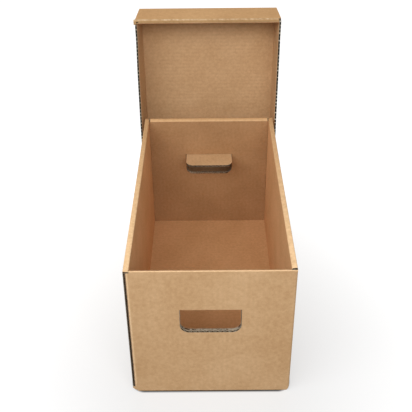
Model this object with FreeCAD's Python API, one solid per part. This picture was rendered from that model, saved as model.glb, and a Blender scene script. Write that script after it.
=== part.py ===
# A storage box for 7 inch singles, folded from corrugated board.
# The tray has doubled walls, rolled over at the rim, and a hand hole at each end.
# The lid is a separate shallow tray. It stands upright on its short end behind the tray,
# with its open side towards the tray.
# Millimetres, +Z up, the front is at -Y. The origin is the middle of the tray's underside.
import FreeCAD, Part
import math
import os

V = FreeCAD.Vector

# Board
board = 3.0              # thickness of the corrugated board
crushed = 0.8            # thickness of a flap pressed flat between two layers
layer_gap = 1.0          # room between the two layers of a doubled wall
slip = 0.3               # clearance between pieces that are pushed together

# Tray, measured outside
tray_width = 214.0
tray_length = 378.0
tray_height = 217.0

# Rims and corners
rim_radius = 2.0         # rounding along both edges of a rolled rim
corner_slit = 0.5        # slit between two rims that meet at a corner
rim_tongue = 1.6         # thin end of a front or rear rim, in front of the side rim
joint_radius = 2.0       # rounding of the front panel where it turns in to the glue flap
corner_cut = 7.0         # cut-off lower left corner of the front
raw_edge_foot = 10.0     # height at which the left wall's raw front edge starts
glue_flap_width = 35.0
glue_flap_inset = 8.0    # how far the glue flap stays from the floor and the rim

# Bottom
flap_seam = 1.0          # gap where two bottom flaps meet
seam_shift = 5.0         # how far behind the middle the front and rear bottom flaps meet
pad_clearance = 0.5      # gap around the base pad

# Hand holes and the flaps cut out of them
hole_width = 78.0
hole_height = 39.0
hole_drop = 65.0         # from the top of the rim down to the hole's straight top edge
hole_radius = 12.0       # the two lower corners
hole_margin = 0.5        # how much further the inner wall is cut away all round
cut_width = 0.3          # gap left by the knife round a hand flap

# Lid
lid_clearance = 1.0      # room between the closed lid and the tray, on each side
lid_depth = 54.0
lid_flare = 3.0          # how far a side flap's free edge leans outwards
lid_gap = 0.5            # room between the standing lid and the tray
roll_curl = 2.3          # how far the upper roll's loose left end sticks out past the side flap
tab_length = 45.0        # corner tabs inside the rolled end walls
tab_inset = 4.0          # how far a tab stays from the lid panel and from the rim
tab_taper = 5.0          # how much a tab narrows on each side

# What follows from the sizes above
wall = 2 * board + layer_gap
half_width = tray_width / 2
half_length = tray_length / 2
fold_x = half_width - board            # crease lines of the long walls
fold_y = half_length - board           # crease lines of the short walls
inside_x = half_width - wall
inside_y = half_length - wall
rim_low = tray_height - board
floor_top = 3 * board
hole_top = tray_height - hole_drop
hole_bottom = hole_top - hole_height
lid_width = tray_width + 2 * (lid_clearance + board)
lid_length = tray_length + 2 * (lid_clearance + wall)
lid_mouth = half_length + lid_gap      # y of the lid's open side
lid_back = lid_mouth + lid_depth       # y of the lid panel's outer face
lid_fold_x = lid_width / 2 - board
lid_fold_y = lid_back - board
flare_angle = math.degrees(math.atan(lid_flare / (lid_depth - board)))


def block(low, high):
    """Return a box between two opposite corners."""
    size = V(*high) - V(*low)
    return Part.makeBox(size.x, size.y, size.z, V(*low))


def prism(points, travel):
    """Return a closed outline of points pushed along a vector."""
    outline = [V(*point) for point in points]
    face = Part.Face(Part.makePolygon(outline + outline[:1]))
    return face.extrude(V(*travel))


def crease(centre, across, out, start, end, travel):
    """Return a slice of the rounded fold round a crease line, between two angles in degrees.

    across and out are the directions of 0 and 90 degrees, and travel runs along the crease.
    """
    def at(angle):
        turn = math.radians(angle)
        return V(*centre) + (V(*across) * math.cos(turn) + V(*out) * math.sin(turn)) * board

    middle = V(*centre)
    arc = Part.Arc(at(start), at((start + end) / 2), at(end)).toShape()
    sides = [Part.makeLine(middle, at(start)), arc, Part.makeLine(at(end), middle)]
    return Part.Face(Part.Wire(sides)).extrude(V(*travel))


def join(first, *others):
    """Return one solid made of touching pieces."""
    return first.multiFuse(list(others)).removeSplitter()


def mirrored(shape, normal):
    """Return the shape mirrored in a plane through the origin."""
    return shape.mirror(V(0, 0, 0), V(*normal))


def rounded_bar(low, high, edges):
    """Return a box whose edges at the given places are rounded as a rolled rim.

    Each place is a pair of axis names and values that all points of the edge share.
    """
    bar = block(low, high)
    chosen = []
    for edge in bar.Edges:
        ends = [vertex.Point for vertex in edge.Vertexes]
        for place in edges:
            if all(abs(getattr(end, axis) - value) < 1e-6 for end in ends for axis, value in place):
                chosen.append(edge)
    radius = min(rim_radius, 0.8 * board)
    return bar.makeFillet(radius, chosen)


def tray_corners():
    """Return the tray's full block with its three folded corners rounded."""
    body = block((-half_width, -half_length, 0), (half_width, half_length, tray_height))
    folded = []
    for edge in body.Edges:
        low, high = [vertex.Point for vertex in edge.Vertexes]
        upright = abs(low.x - high.x) < 1e-6 and abs(low.y - high.y) < 1e-6
        glued = low.x < 0 and low.y < 0
        if upright and not glued:
            folded.append(edge)
    return body.makeFillet(board, folded)


# Outer walls of the tray

def hole_outline(margin, y):
    """Return the hand hole's face at y, grown by a margin."""
    side = hole_width / 2 + margin
    top = hole_top + margin
    low = hole_bottom - margin
    radius = min(hole_radius + margin, 0.45 * hole_width, 0.9 * hole_height)
    turn = radius * math.sqrt(0.5)
    left = V(-side + radius - turn, y, low + radius - turn)
    right = V(side - radius + turn, y, low + radius - turn)
    edges = [
        Part.makeLine(V(-side, y, top), V(-side, y, low + radius)),
        Part.Arc(V(-side, y, low + radius), left, V(-side + radius, y, low)).toShape(),
        Part.makeLine(V(-side + radius, y, low), V(side - radius, y, low)),
        Part.Arc(V(side - radius, y, low), right, V(side, y, low + radius)).toShape(),
        Part.makeLine(V(side, y, low + radius), V(side, y, top)),
        Part.makeLine(V(side, y, top), V(-side, y, top)),
    ]
    return Part.Face(Part.Wire(edges))


def hole_cutter(margin):
    """Return the hand hole as a solid that runs through the front wall."""
    return hole_outline(margin, -half_length - board).extrude(V(0, wall + 2 * board, 0))


def make_front_outer_wall():
    """The front panel: folded to the right wall, glued to the left one, with a hand hole."""
    panel = block((-fold_x, -half_length, board), (fold_x, -fold_y, rim_low))
    joint = []
    for edge in panel.Edges:
        if all(abs(v.X + fold_x) < 1e-6 and abs(v.Y + half_length) < 1e-6 for v in edge.Vertexes):
            joint.append(edge)
    panel = panel.makeFillet(min(joint_radius, 0.8 * board), joint)
    right_fold = crease((fold_x, -fold_y, board), (1, 0, 0), (0, -1, 0), 45, 90,
                        (0, 0, rim_low - board))
    foot_start = -half_width + corner_cut
    foot_fold = crease((foot_start, -fold_y, board), (0, -1, 0), (0, 0, -1), 0, 45,
                       (fold_x - foot_start, 0, 0))
    corner = prism([(-half_width, -half_length, corner_cut),
                    (-half_width + corner_cut - board, -half_length, board),
                    (-fold_x + joint_radius, -half_length, board),
                    (-fold_x + joint_radius, -half_length, raw_edge_foot),
                    (-half_width, -half_length, raw_edge_foot)], (0, board, 0))
    whole = join(panel, right_fold, foot_fold, corner)
    return whole.cut(hole_cutter(0))


def make_rear_outer_wall():
    """The rear panel: folded to both long walls, with a hand hole."""
    panel = block((-fold_x, fold_y, board), (fold_x, half_length, rim_low))
    rise = (0, 0, rim_low - board)
    right_fold = crease((fold_x, fold_y, board), (1, 0, 0), (0, 1, 0), 45, 90, rise)
    left_fold = mirrored(right_fold, (1, 0, 0))
    foot_fold = crease((-fold_x, fold_y, board), (0, 1, 0), (0, 0, -1), 0, 45,
                       (2 * fold_x, 0, 0))
    whole = join(panel, right_fold, left_fold, foot_fold)
    return whole.cut(mirrored(hole_cutter(0), (0, 1, 0)))


def make_right_outer_wall():
    """The right panel, folded to the front and the rear panel."""
    panel = block((fold_x, -fold_y, 2 * board), (half_width, fold_y, rim_low))
    rise = (0, 0, rim_low - 2 * board)
    rear_fold = crease((fold_x, fold_y, 2 * board), (1, 0, 0), (0, 1, 0), 0, 45, rise)
    front_fold = mirrored(rear_fold, (0, 1, 0))
    foot_fold = crease((fold_x, -fold_y, 2 * board), (1, 0, 0), (0, 0, -1), 0, 45,
                       (0, 2 * fold_y, 0))
    return join(panel, rear_fold, front_fold, foot_fold)


def make_left_outer_wall():
    """The left panel, folded to the rear panel, with a raw edge that shows at the front."""
    panel = block((-half_width, -fold_y, 2 * board), (-fold_x, fold_y, rim_low))
    raw_end = block((-half_width, -half_length, raw_edge_foot), (-fold_x, -fold_y, rim_low))
    rear_fold = mirrored(crease((fold_x, fold_y, 2 * board), (1, 0, 0), (0, 1, 0), 0, 45,
                                (0, 0, rim_low - 2 * board)), (1, 0, 0))
    foot_fold = crease((-fold_x, -fold_y, 2 * board), (-1, 0, 0), (0, 0, -1), 0, 45,
                       (0, 2 * fold_y, 0))
    return join(panel, raw_end, rear_fold, foot_fold)


def make_glue_flap():
    """The front panel's crushed side flap, glued inside the left wall."""
    low = floor_top + glue_flap_inset
    high = rim_low - glue_flap_inset
    back = -fold_y + glue_flap_width
    return prism([(-fold_x, -fold_y, low), (-fold_x, back, low + glue_flap_inset),
                  (-fold_x, back, high - glue_flap_inset), (-fold_x, -fold_y, high)],
                 (crushed, 0, 0))


# Rims and inner walls of the tray

def make_side_rim(side, front_end):
    """The rim of a long wall. side is -1 or 1, front_end is the y of its front end."""
    outer = side * half_width
    inner = side * inside_x
    back_end = half_length - rim_tongue - corner_slit
    low = (min(outer, inner), front_end, rim_low)
    high = (max(outer, inner), back_end, tray_height)
    top = ("z", tray_height)
    return rounded_bar(low, high, [(("x", outer), top), (("x", inner), top)])


def make_end_rim(side, tongues):
    """The rim of a short wall, with a thin tongue past the side rim at each folded corner."""
    outer = side * half_length
    inner = side * inside_y
    top = ("z", tray_height)
    places = [(("y", outer), top), (("y", inner), top)]
    bar = rounded_bar((-half_width, min(outer, inner), rim_low),
                      (half_width, max(outer, inner), tray_height), places)
    behind = side * (half_length - rim_tongue)
    for end in (-1, 1):
        start = end * (inside_x - corner_slit)
        stop = end * half_width
        if end in tongues:
            bar = bar.cut(block((min(start, stop), min(behind, inner), rim_low),
                                (max(start, stop), max(behind, inner), tray_height)))
        else:
            bar = bar.cut(block((min(start, stop), min(outer, inner), rim_low),
                                (max(start, stop), max(outer, inner), tray_height)))
    return bar.common(tray_corners())


def make_end_inner_wall(side):
    """The inner layer of a short wall, which hangs from its rim down to the pad."""
    across = inside_x - slip
    panel = block((-across, -inside_y - board, floor_top), (across, -inside_y, rim_low))
    panel = panel.cut(hole_cutter(hole_margin))
    if side > 0:
        return mirrored(panel, (0, 1, 0))
    return panel


def make_side_inner_wall(side):
    """The inner layer of a long wall, held behind the ends of the short inner walls."""
    reach = fold_y - slip
    panel = block((inside_x, -reach, floor_top), (inside_x + board, reach, rim_low))
    if side < 0:
        return mirrored(panel, (1, 0, 0))
    return panel


# Bottom of the tray

def make_end_bottom_flap(side):
    """The flap folded in from a short wall, in the lower layer of the bottom."""
    start = -half_width + corner_cut if side < 0 else -fold_x
    end = -side * seam_shift - flap_seam / 2
    flap = block((start, -fold_y, 0), (fold_x, end, board))
    fold = crease((start, -fold_y, board), (0, -1, 0), (0, 0, -1), 45, 90,
                  (fold_x - start, 0, 0))
    whole = join(flap, fold)
    if side > 0:
        return mirrored(whole, (0, 1, 0))
    return whole


def make_side_bottom_flap(side):
    """The flap folded in from a long wall, in the upper layer of the bottom."""
    reach = fold_y - slip
    flap = block((flap_seam / 2, -reach, board), (fold_x, reach, 2 * board))
    fold = crease((fold_x, -reach, 2 * board), (1, 0, 0), (0, 0, -1), 45, 90, (0, 2 * reach, 0))
    whole = join(flap, fold)
    if side < 0:
        return mirrored(whole, (1, 0, 0))
    return whole


def make_base_pad():
    """The seamless floor, a sheet held down by the inner walls."""
    across = fold_x - pad_clearance
    along = fold_y - pad_clearance
    return block((-across, -along, 2 * board), (across, along, floor_top))


# Hand flaps, cut out of the outer walls and folded in flat at their top crease

def make_hand_flap(side):
    """A hand flap as it is folded in, level with the hole's top edge."""
    flap = hole_outline(-cut_width, -half_length).extrude(V(0, board, 0))
    flap.rotate(V(0, -fold_y, hole_top), V(1, 0, 0), 90)
    if side > 0:
        return mirrored(flap, (0, 1, 0))
    return flap


# Lid

def flap_inner_x(y):
    """Return the x of a lid side flap's inner face at y."""
    return lid_fold_x + (lid_fold_y - y) * math.tan(math.radians(flare_angle))


def flap_outer_x(y):
    """Return the x of a lid side flap's outer face at y."""
    return flap_inner_x(y) + board / math.cos(math.radians(flare_angle))


def make_lid_panel():
    """The lid's large panel, with the rounded folds to its four sides."""
    rise = lid_length - 2 * board
    panel = block((-lid_fold_x, lid_fold_y, board), (lid_fold_x, lid_back, lid_length - board))
    right = crease((lid_fold_x, lid_fold_y, board), (1, 0, 0), (0, 1, 0), 45, 90, (0, 0, rise))
    left = mirrored(right, (1, 0, 0))
    span = (2 * lid_fold_x, 0, 0)
    foot = crease((-lid_fold_x, lid_fold_y, board), (0, 1, 0), (0, 0, -1), 0, 45, span)
    top = crease((-lid_fold_x, lid_fold_y, lid_length - board), (0, 1, 0), (0, 0, 1), 0, 45, span)
    return join(panel, right, left, foot, top)


def make_lid_side_flap(side):
    """A single side of the lid. It leans outwards, and its free edge is raw."""
    rise = lid_length - 2 * board
    lean = math.radians(flare_angle)
    down = V(math.sin(lean), -math.cos(lean), 0) * ((lid_depth - board) / math.cos(lean))
    out = V(math.cos(lean), math.sin(lean), 0) * board
    start = V(lid_fold_x, lid_fold_y, board)
    corners = [start, start + down, start + down + out, start + out]
    flap = prism([tuple(corner) for corner in corners], (0, 0, rise))
    fold = crease(tuple(start), (1, 0, 0), (0, 1, 0), flare_angle, 45, (0, 0, rise))
    whole = join(flap, fold)
    reach = flap_outer_x(lid_mouth) + board
    for low, high in ((0, wall + slip), (lid_length - wall - slip, lid_length)):
        whole = whole.cut(block((0, lid_mouth - board, low), (reach, lid_mouth + board + slip, high)))
    if side < 0:
        return mirrored(whole, (1, 0, 0))
    return whole


def lid_end(shape, at_top):
    """Return a piece of the lid's upper end, or its twin at the foot."""
    if at_top:
        return shape
    middle = V(0, 0, lid_length / 2)
    return shape.mirror(middle, V(0, 0, 1))


def make_lid_end_wall(at_top):
    """The outer layer of a short side of the lid, over the ends of the side flaps."""
    rim_back = lid_mouth + board
    low = lid_length - board
    wide = flap_outer_x(rim_back)
    narrow = flap_outer_x(lid_fold_y)
    plate = prism([(-wide, rim_back, low), (wide, rim_back, low),
                   (narrow, lid_fold_y, low), (-narrow, lid_fold_y, low)], (0, 0, board))
    fold = crease((-lid_fold_x, lid_fold_y, low), (0, 1, 0), (0, 0, 1), 45, 90,
                  (2 * lid_fold_x, 0, 0))
    return lid_end(join(plate, fold), at_top)


def make_lid_end_rim(at_top):
    """The rolled edge of a short side of the lid. The upper one's left end has come loose."""
    wide = flap_outer_x(lid_mouth + board)
    left = -wide - roll_curl if at_top else -wide
    low = lid_length - wall
    edge = ("y", lid_mouth)
    places = [(edge, ("z", lid_length)), (edge, ("z", low))]
    bar = rounded_bar((left, lid_mouth, low), (wide, lid_mouth + board, lid_length), places)
    return lid_end(bar, at_top)


def make_lid_end_lining(at_top):
    """The inner layer of a short side of the lid, between the side flaps."""
    rim_back = lid_mouth + board
    low = lid_length - wall
    wide = flap_inner_x(rim_back) - slip
    narrow = flap_inner_x(lid_fold_y) - slip
    plate = prism([(-wide, rim_back, low), (wide, rim_back, low),
                   (narrow, lid_fold_y, low), (-narrow, lid_fold_y, low)], (0, 0, board))
    return lid_end(plate, at_top)


def make_lid_tab(side, at_top):
    """The crushed end of a side flap, turned in between the two layers of a short side."""
    near = lid_mouth + board + tab_inset
    far = lid_fold_y - tab_inset
    low = lid_length - board - layer_gap + (layer_gap - crushed) / 2
    tip = flap_inner_x(far) - tab_length
    tab = prism([(flap_inner_x(near), near, low), (flap_inner_x(far), far, low),
                 (tip, far - tab_taper, low), (tip, near + tab_taper, low)], (0, 0, crushed))
    if side < 0:
        tab = mirrored(tab, (1, 0, 0))
    return lid_end(tab, at_top)


def build():
    """Return every piece by name."""
    right_rim_front = -half_length + rim_tongue + corner_slit
    pieces = {
        "front_outer_wall": make_front_outer_wall(),
        "rear_outer_wall": make_rear_outer_wall(),
        "left_outer_wall": make_left_outer_wall(),
        "right_outer_wall": make_right_outer_wall(),
        "glue_flap": make_glue_flap(),
        "left_rim": make_side_rim(-1, -half_length),
        "right_rim": make_side_rim(1, right_rim_front),
        "front_rim": make_end_rim(-1, [1]),
        "rear_rim": make_end_rim(1, [-1, 1]),
        "base_pad": make_base_pad(),
        "lid_panel": make_lid_panel(),
    }
    for name, side in (("front", -1), ("rear", 1)):
        pieces[name + "_inner_wall"] = make_end_inner_wall(side)
        pieces[name + "_bottom_flap"] = make_end_bottom_flap(side)
        pieces[name + "_hand_flap"] = make_hand_flap(side)
    for name, side in (("left", -1), ("right", 1)):
        pieces[name + "_inner_wall"] = make_side_inner_wall(side)
        pieces[name + "_bottom_flap"] = make_side_bottom_flap(side)
        pieces["lid_" + name + "_flap"] = make_lid_side_flap(side)
    for end, at_top in (("top", True), ("foot", False)):
        pieces["lid_" + end + "_end_wall"] = make_lid_end_wall(at_top)
        pieces["lid_" + end + "_end_rim"] = make_lid_end_rim(at_top)
        pieces["lid_" + end + "_end_lining"] = make_lid_end_lining(at_top)
        for name, side in (("left", -1), ("right", 1)):
            pieces["lid_" + end + "_" + name + "_tab"] = make_lid_tab(side, at_top)
    return pieces


os.makedirs("parts", exist_ok=True)
for piece_name, piece in build().items():
    solids = piece.Solids
    if len(solids) != 1 or not piece.isValid():
        print("check", piece_name, len(solids), piece.isValid())
    solids[0].exportStep("parts/" + piece_name + ".step")
    box = solids[0].BoundBox
    print(f"{piece_name:24s} {solids[0].Volume / 1000:8.1f} cm3  "
          f"x {box.XMin:7.1f} {box.XMax:7.1f}  y {box.YMin:7.1f} {box.YMax:7.1f}  "
          f"z {box.ZMin:6.1f} {box.ZMax:6.1f}")
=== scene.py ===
# %% [markdown]
# # A folded record storage box
# The real box is two sheets of brown corrugated board, cut, creased and folded. One is the tray. The
# other is the lid, which stands on end behind the tray. Here every panel that shows is modelled the way
# board is made: two paper liners with a wavy paper, the fluting, between them. Where a panel is cut, the
# wave shows, as it does on the real box.

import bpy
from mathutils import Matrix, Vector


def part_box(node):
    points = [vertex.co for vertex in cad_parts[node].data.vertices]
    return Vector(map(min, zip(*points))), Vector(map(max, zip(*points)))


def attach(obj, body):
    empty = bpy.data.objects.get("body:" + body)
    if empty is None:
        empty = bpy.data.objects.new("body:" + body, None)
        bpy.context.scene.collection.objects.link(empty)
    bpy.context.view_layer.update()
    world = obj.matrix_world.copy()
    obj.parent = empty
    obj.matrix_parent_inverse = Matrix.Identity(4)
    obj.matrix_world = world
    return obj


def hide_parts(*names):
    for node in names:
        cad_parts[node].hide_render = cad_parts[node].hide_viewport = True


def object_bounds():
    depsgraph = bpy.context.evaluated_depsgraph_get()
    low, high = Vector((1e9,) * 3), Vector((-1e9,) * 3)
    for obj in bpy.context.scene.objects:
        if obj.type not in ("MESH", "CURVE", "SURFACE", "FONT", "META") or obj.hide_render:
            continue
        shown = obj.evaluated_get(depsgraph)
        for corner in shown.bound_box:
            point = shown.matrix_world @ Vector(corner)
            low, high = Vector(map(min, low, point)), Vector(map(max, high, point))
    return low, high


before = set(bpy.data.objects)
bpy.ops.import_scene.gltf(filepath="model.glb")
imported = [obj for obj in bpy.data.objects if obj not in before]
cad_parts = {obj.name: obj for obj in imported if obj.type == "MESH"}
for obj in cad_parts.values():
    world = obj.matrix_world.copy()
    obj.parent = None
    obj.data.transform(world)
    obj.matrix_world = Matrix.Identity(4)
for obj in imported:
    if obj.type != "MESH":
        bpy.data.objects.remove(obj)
cad_low, cad_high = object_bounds()

# %% [markdown]
# ## Units and measures
# Blender works in metres, so lengths are written in millimetres and multiplied by one constant. The
# board's thickness is read from the frame. The papers are thin, about a third of a millimetre, and the
# fluting repeats every six and a half millimetres, which was counted along the photographed cut edges.
# The wave keeps a hair's breadth of play, so that it never breaks through the papers that it is glued to.
# Two points closer than a thousandth of a millimetre, here called tiny, count as one.

# %% Measures of the board
import math

import bmesh
import bpy
from mathutils import Matrix, Vector, noise

mm = 0.001
pad_low, pad_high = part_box("base_pad")
board = pad_high.z - pad_low.z
paper = 0.3 * mm
flute_pitch = 6.45 * mm
play = 0.02 * mm
flute_swing = (board - 3 * paper) / 2 - play
tiny = 1e-6

X = Vector((1, 0, 0))
Y = Vector((0, 1, 0))
Z = Vector((0, 0, 1))
print(f"board {board / mm:.2f} mm, papers {paper / mm:.2f} mm, flutes every {flute_pitch / mm:.2f} mm")

# %% [markdown]
# ## Paper as shader nodes
# Kraft paper is never one flat brown. Pulp clumps give soft blotches a few centimetres wide, finer
# mottling of a few millimetres, and short fibres. Here and there lies a dark speck or a pale fibre. All
# of this is noise at different scales on Object coordinates, so the pattern runs on unbroken from panel
# to panel, as the paper does. A fold stretches the paper and rubs it pale, so the folds carry a vertex
# attribute, and the shader mixes a second tone in there. The same attribute also carries painted light:
# a painted highlight and sheen on the rims and on the front wall's rolled joint, and painted shade, nearly
# black, on the lid flaps' cut flutes. Scuffs on the lid's rolls use it too.

# %% Helpers for shader trees


def linear(code):
    """Return a linear colour for a hexadecimal display colour."""
    shown = [int(code[digit:digit + 2], 16) / 255 for digit in (0, 2, 4)]
    return [c / 12.92 if c <= 0.04045 else ((c + 0.055) / 1.055) ** 2.4 for c in shown] + [1.0]


def add_node(tree, kind, sources=(), **settings):
    """Add a shader node, set its options, and link or set its inputs."""
    made = tree.nodes.new(kind)
    for key, value in settings.items():
        setattr(made, key, value)
    for name, source in dict(sources).items():
        if isinstance(source, bpy.types.NodeSocket):
            tree.links.new(source, made.inputs[name])
        else:
            made.inputs[name].default_value = source
    return made


def noise_value(tree, point, scale, detail, low, high, stretch=(1, 1, 1)):
    """Return a noise that runs from 0 to 1 between two of its levels."""
    mapped = add_node(tree, "ShaderNodeMapping", {"Vector": point, "Scale": stretch})
    cloud = add_node(tree, "ShaderNodeTexNoise",
                     {"Vector": mapped.outputs[0], "Scale": scale, "Detail": detail, "Roughness": 0.6})
    spread = add_node(tree, "ShaderNodeMapRange",
                      {"Value": cloud.outputs[0], "From Min": low, "From Max": high})
    return spread.outputs[0]


def arithmetic(tree, operation, first, second):
    """Return the result of one sum on two values."""
    made = add_node(tree, "ShaderNodeMath", {0: first, 1: second}, operation=operation)
    return made.outputs[0]


def times(tree, first, second):
    """Return the product of two values."""
    return arithmetic(tree, "MULTIPLY", first, second)


def plus(tree, first, second):
    """Return the sum of two values."""
    return arithmetic(tree, "ADD", first, second)


def blend_colour(tree, share, first, second):
    """Return a mix of two colours."""
    made = add_node(tree, "ShaderNodeMix", {0: share, 6: first, 7: second}, data_type="RGBA")
    return made.outputs[2]


print("the display's middle grey is", round(linear("808080")[0], 3), "in a shader")

# %% [markdown]
# ## One recipe for all papers
# Every paper of the box is the same mixture of noises between a dark and a light brown, so one function
# makes them all. The scales count the blotches in one metre of board. Three of the noises share the tone
# between them, and two more, of which only the peaks are kept, lay down the specks and the pale fibres.
# Bump gives the surface its tooth.

# %% The paper material
clump_scale = 16
mottle_scale = 230
fibre_scale = 900
speck_scale = 620
fleck_scale = 480
wear_and_light_scale = 210
clump_share = 0.34
mottle_share = 0.38
fibre_share = 0.28
speck_brown = "7A5636"
speck_strength = 0.55
fleck_cream = "E6D2B0"
fleck_strength = 0.45
groove_shade_and_glue = "6E4A2A"
tooth = 0.05 * mm
mottle_height = 0.6


def paper_material(name, dark, light, wear_and_light, wear_and_light_level=0.5, patch=0.4, stripe=0.05, rough=0.86):
    """Return kraft paper between two browns, with a second tone mixed in where a vertex mask is set.

    The next number says how strongly the second tone shows, patch how patchily, and stripe how strongly
    the painted shade in the flutes' dips shows. The second tone is rubbing on some papers, a painted
    highlight and sheen on the rims and the front wall's joint, and painted shade on the lid flaps' cut
    edges.
    """
    material = bpy.data.materials.new(name)
    material.use_nodes = True
    tree = material.node_tree
    shader = tree.nodes["Principled BSDF"]
    point = add_node(tree, "ShaderNodeTexCoord").outputs["Object"]
    clump = noise_value(tree, point, clump_scale, detail=2, low=0.3, high=0.7)
    mottle = noise_value(tree, point, mottle_scale, detail=4, low=0.3, high=0.7)
    fibre = noise_value(tree, point, fibre_scale, detail=3, low=0.25, high=0.75)
    tone = times(tree, clump, clump_share)
    tone = plus(tree, tone, times(tree, mottle, mottle_share))
    tone = plus(tree, tone, times(tree, fibre, fibre_share))
    colour = blend_colour(tree, tone, linear(dark), linear(light))
    speck = noise_value(tree, point, speck_scale, detail=2, low=0.72, high=0.78)
    colour = blend_colour(tree, times(tree, speck, speck_strength), colour, linear(speck_brown))
    fleck = noise_value(tree, point, fleck_scale, detail=3, low=0.73, high=0.8, stretch=(1, 3, 1))
    colour = blend_colour(tree, times(tree, fleck, fleck_strength), colour, linear(fleck_cream))
    # The mask mixes in rubbing, and also painted light: highlight and sheen on rims, shade on cut flutes.
    crease = add_node(tree, "ShaderNodeAttribute", attribute_name="crease").outputs["Fac"]
    patchy = noise_value(tree, point, wear_and_light_scale, detail=4, low=0.32, high=0.62)
    patchy = plus(tree, times(tree, patchy, patch), 1 - patch)
    wear_and_light_share = times(tree, times(tree, crease, patchy), wear_and_light_level)
    colour = blend_colour(tree, wear_and_light_share, colour, linear(wear_and_light))
    # Darker stripes in the liner's dips between the flutes: painted shade, partly also glue lines.
    groove = add_node(tree, "ShaderNodeAttribute", attribute_name="flute").outputs["Fac"]
    stripes = times(tree, groove, times(tree, clump, stripe))
    colour = blend_colour(tree, stripes, colour, linear(groove_shade_and_glue))
    tree.links.new(colour, shader.inputs["Base Color"])
    height = plus(tree, fibre, times(tree, mottle, mottle_height))
    bump = add_node(tree, "ShaderNodeBump", {"Height": height, "Strength": 0.5, "Distance": tooth})
    tree.links.new(bump.outputs[0], shader.inputs["Normal"])
    shader.inputs["Roughness"].default_value = rough
    shader.inputs["Specular IOR Level"].default_value = 0.25
    return material


# %% [markdown]
# ## The papers of this box
# The box has one kind of liner, but its browns were matched to the photograph place by place, and inside
# they are painted light and shade. The long inner walls and the lid's linings are a brighter, warmer copy
# of the liner, painted bounce light. The short inner walls are a darker copy, painted shade. The pad is
# warmer than the outside and darker than the long walls, painted bounce light and shade. The rims are the
# same paper pulled round a fold, paler partly by rubbing and partly by a painted sheen. The fluting is
# darker than any liner, because hardly any light reaches it, and a knife leaves a pale grey cut. Along the
# lid's open flutes one looks into the dark, so their edges are nearly black, with pale fuzz on the crests
# and a paler strip beside them, where the knife has pressed the board.

# %% Make the materials
# On the tray's outside the pale tone is rubbing along the folds and a painted highlight along the front
# wall's rolled joint.
kraft_tray = paper_material("kraft_tray", "B88E61", "DDB88D", "F5D4A8", wear_and_light_level=0.9)
kraft_inside = paper_material("kraft_inside", "B28B60", "D8B288", "E0C49C", stripe=0.11)
# The next three are copies of the liner in other browns: a brighter, warmer one, painted bounce light; one
# warmer than the outside and darker than that, painted bounce light and shade; a darker one, painted shade.
kraft_bounce_lit = paper_material("kraft_bounce_lit", "C69662", "EEBC8B", "F0CEA0")
kraft_pad = paper_material("kraft_pad", "BA8C5B", "E1B182", "EBC99C")
kraft_shade = paper_material("kraft_shade", "9B744C", "BD946B", "D8B48A")
kraft_lid = paper_material("kraft_lid", "BE905F", "E0B37F", "E8D0A8", wear_and_light_level=0.9)
# The rims' pale tone is partly rubbing and partly painted light, a painted sheen strongest at the front.
kraft_rim = paper_material("kraft_rim", "B38454", "CEA474", "F5CFA0", wear_and_light_level=0.95)
kraft_roll = paper_material("kraft_roll", "A07A4E", "C69F70", "EBD3AE", wear_and_light_level=1.0, patch=1.0)
fluting = paper_material("fluting", "3A2616", "56391F", "56391F", wear_and_light_level=0.0, rough=0.95)
deep_fluting = paper_material("deep_fluting", "120C07", "1E150D", "1E150D", wear_and_light_level=0.0, rough=0.95)
cut_edge = paper_material("cut_edge", "6E6350", "B9AF9B", "B9AF9B", wear_and_light_level=0.0, rough=0.95)
fuzzy_edge = paper_material("fuzzy_edge", "B5A990", "F2ECDF", "F2ECDF", wear_and_light_level=0.0, rough=0.95)
pressed_edge = paper_material("pressed_edge", "D2A87A", "F2D2AB", "F2D2AB", wear_and_light_level=0.0)
# The flap edge's dark second tone is painted shade on the lid flaps' cut flute ends.
flap_edge = paper_material("flap_edge", "6E6250", "A89C86", "1E150D", wear_and_light_level=1.0, patch=0.0, rough=0.95)
crushed = paper_material("crushed_board", "A17B50", "BC9668", "BC9668", wear_and_light_level=0.0)
papers_made = (kraft_tray, kraft_inside, kraft_bounce_lit, kraft_pad, kraft_shade, kraft_lid, kraft_rim,
               kraft_roll, fluting, deep_fluting, cut_edge, fuzzy_edge, pressed_edge, flap_edge, crushed)
print("materials:", ", ".join(material.name for material in papers_made))

# %% [markdown]
# ## Board coordinates
# Each panel is drawn flat first: x runs across the flutes, y along them and z from the inner face to the
# outer face. A fold is then a spin of a border, and one matrix at the end stands the panel up in its
# place. That is far simpler than drawing each wall where it stands. A liner sags by a few hundredths of a
# millimetre between the flutes, but not along its borders, and its dips are marked for the shader, which
# paints them as faint darker stripes: painted shade, partly also glue lines.

# %% Sheets of paper
row_length = 14 * mm
flat_border = 5 * mm


def clamp(value):
    """Return a value kept between 0 and 1."""
    return max(0.0, min(1.0, value))


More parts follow.
